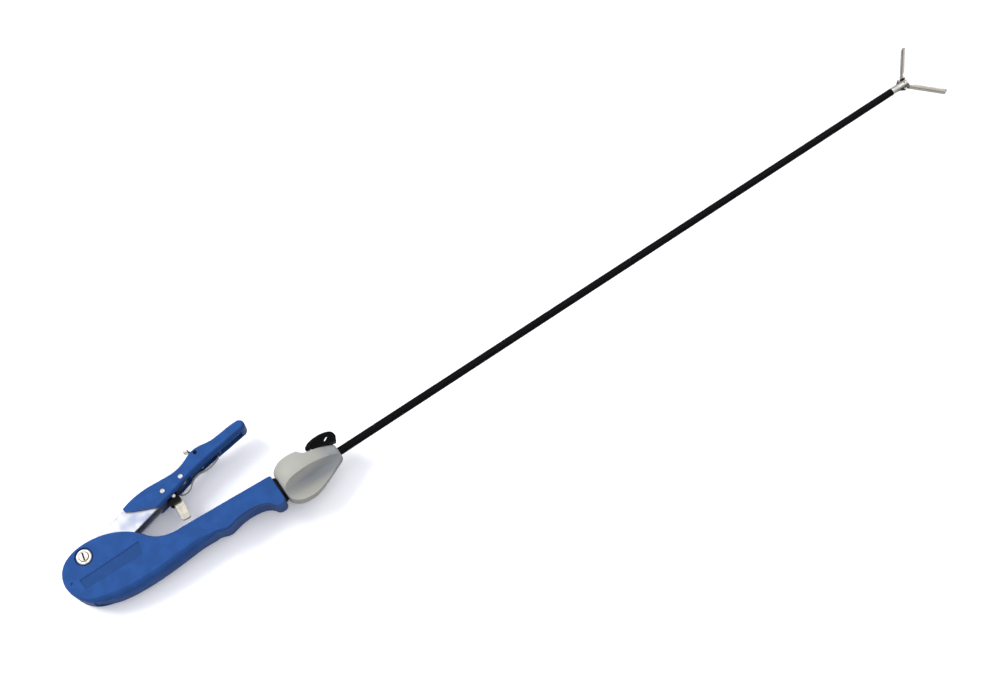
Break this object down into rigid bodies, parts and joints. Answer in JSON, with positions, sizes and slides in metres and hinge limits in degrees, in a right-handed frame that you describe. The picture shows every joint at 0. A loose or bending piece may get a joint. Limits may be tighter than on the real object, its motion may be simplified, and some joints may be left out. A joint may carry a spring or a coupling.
{
  "type": "laparoscopic grasper",
  "caption": "Squeeze-handled laparoscopic grasper with a slim straight shaft, a fluted rotation knob and long open scissor jaws.",
  "frame": {"origin": "on the shaft's axis at the front face of the rotation knob", "axes": "+X along the shaft towards the jaws, +Y towards the squeeze lever, +Z out of the handle's right-hand face, which faces up in the picture"},
  "size_m": [0.6415, 0.0739, 0.0292],
  "materials": {
    "blue_handle": "satin",
    "grey_knob": "gloss",
    "black_plastic": "satin",
    "black_rubber": "matt",
    "white_bush": "satin",
    "polished_steel": "polished",
    "plain_steel": "brushed"
  },
  "bodies": {
    "handle": {"handle_shell_right": "blue_handle", "handle_shell_left": "blue_handle", "pivot_bushing": "polished_steel", "pivot_screw": "polished_steel", "pivot_nut": "polished_steel", "front_collar": "black_plastic", "bearing_bush": "white_bush", "ratchet_pawl": "plain_steel", "pawl_pin": "plain_steel", "housing_screw_rear": "plain_steel", "housing_screw_front": "plain_steel"},
    "lever": {"lever_shell": "blue_handle", "lever_arm": "polished_steel", "lever_rivet_rear": "polished_steel", "lever_rivet_front": "polished_steel", "drive_pin": "plain_steel", "trigger_pin": "black_plastic", "ratchet_holder": "black_plastic", "rack_pin": "plain_steel", "ratchet_spring": "plain_steel"},
    "rack": {"ratchet_rack": "plain_steel"},
    "trigger": {"release_trigger": "plain_steel"},
    "drive_link": {"drive_link": "plain_steel"},
    "coupler": {"rod_coupler": "plain_steel", "coupler_pin": "plain_steel"},
    "shaft": {"rotation_knob": "grey_knob", "knob_hub": "plain_steel", "retaining_ring": "plain_steel", "flush_port": "plain_steel", "shaft_tube": "plain_steel", "shaft_sleeve": "black_plastic", "tip_ring": "polished_steel", "clevis": "polished_steel", "jaw_pivot_pin": "plain_steel"},
    "port_cap": {"port_cap": "black_rubber"},
    "rod": {"drive_rod": "plain_steel", "rod_ball": "plain_steel", "rod_yoke": "plain_steel", "yoke_pin": "plain_steel"},
    "upper_jaw": {"upper_jaw": "polished_steel", "upper_tail_rivet": "plain_steel"},
    "lower_jaw": {"lower_jaw": "polished_steel", "lower_tail_rivet": "plain_steel"},
    "upper_link": {"upper_link": "plain_steel"},
    "lower_link": {"lower_link": "plain_steel"}
  },
  "joints": [
    {"name": "lever_squeeze", "type": "hinge", "parent": "handle", "child": "lever", "pos_m": [-0.1505, 0.0273, 0], "axis": [0, 0, -1], "range_deg": [0, 13]},
    {"name": "trigger_pull", "type": "hinge", "parent": "lever", "child": "trigger", "pos_m": [-0.0696, 0.0452, 0], "axis": [0, 0, 1], "range_deg": [0, 10], "stiffness_Nm_per_rad": 0.02},
    {"name": "rack_release", "type": "hinge", "parent": "lever", "child": "rack", "pos_m": [-0.0925, 0.0304, 0], "axis": [0, 0, 1], "range_deg": [0, 5]},
    {"name": "drive_link_pivot", "type": "hinge", "parent": "lever", "child": "drive_link", "pos_m": [-0.14912, 0.01523, 0], "axis": [0, 0, 1], "range_deg": [0, 13]},
    {"name": "coupler_slide", "type": "slide", "parent": "handle", "child": "coupler", "axis": [-1, 0, 0], "range_m": [0, 0.00275]},
    {"name": "shaft_rotation", "type": "hinge", "parent": "handle", "child": "shaft", "pos_m": [0, 0, 0], "axis": [1, 0, 0], "continuous": true},
    {"name": "port_cap_pull", "type": "slide", "parent": "shaft", "child": "port_cap", "axis": [0, 0.9848, 0.1736], "range_m": [0, 0.012]},
    {"name": "rod_pull", "type": "slide", "parent": "shaft", "child": "rod", "axis": [-1, 0, 0], "range_m": [0, 0.00275]},
    {"name": "upper_jaw_close", "type": "hinge", "parent": "shaft", "child": "upper_jaw", "pos_m": [0.4535, 0, 0], "axis": [0, 0, -1], "range_deg": [0, 45]},
    {"name": "lower_jaw_close", "type": "hinge", "parent": "shaft", "child": "lower_jaw", "pos_m": [0.4535, 0, 0], "axis": [0, 0, 1], "range_deg": [0, 45]},
    {"name": "upper_link_swing", "type": "hinge", "parent": "rod", "child": "upper_link", "pos_m": [0.44651, 0, 0], "axis": [0, 0, 1], "range_deg": [0, 18.26]},
    {"name": "lower_link_swing", "type": "hinge", "parent": "rod", "child": "lower_link", "pos_m": [0.44651, 0, 0], "axis": [0, 0, -1], "range_deg": [0, 18.26]}
  ],
  "couplings": [
    {"joint": "coupler_slide", "follows": "lever_squeeze", "m_per_rad": 0.012125},
    {"joint": "rod_pull", "follows": "lever_squeeze", "m_per_rad": 0.012125},
    {"joint": "drive_link_pivot", "follows": "lever_squeeze", "ratio": 1},
    {"joint": "upper_jaw_close", "follows": "lever_squeeze", "ratio": 3.4615},
    {"joint": "lower_jaw_close", "follows": "lever_squeeze", "ratio": 3.4615},
    {"joint": "upper_link_swing", "follows": "lever_squeeze", "ratio": 1.4046},
    {"joint": "lower_link_swing", "follows": "lever_squeeze", "ratio": 1.4046},
    {"joint": "rack_release", "follows": "trigger_pull", "ratio": 0.5}
  ]
}
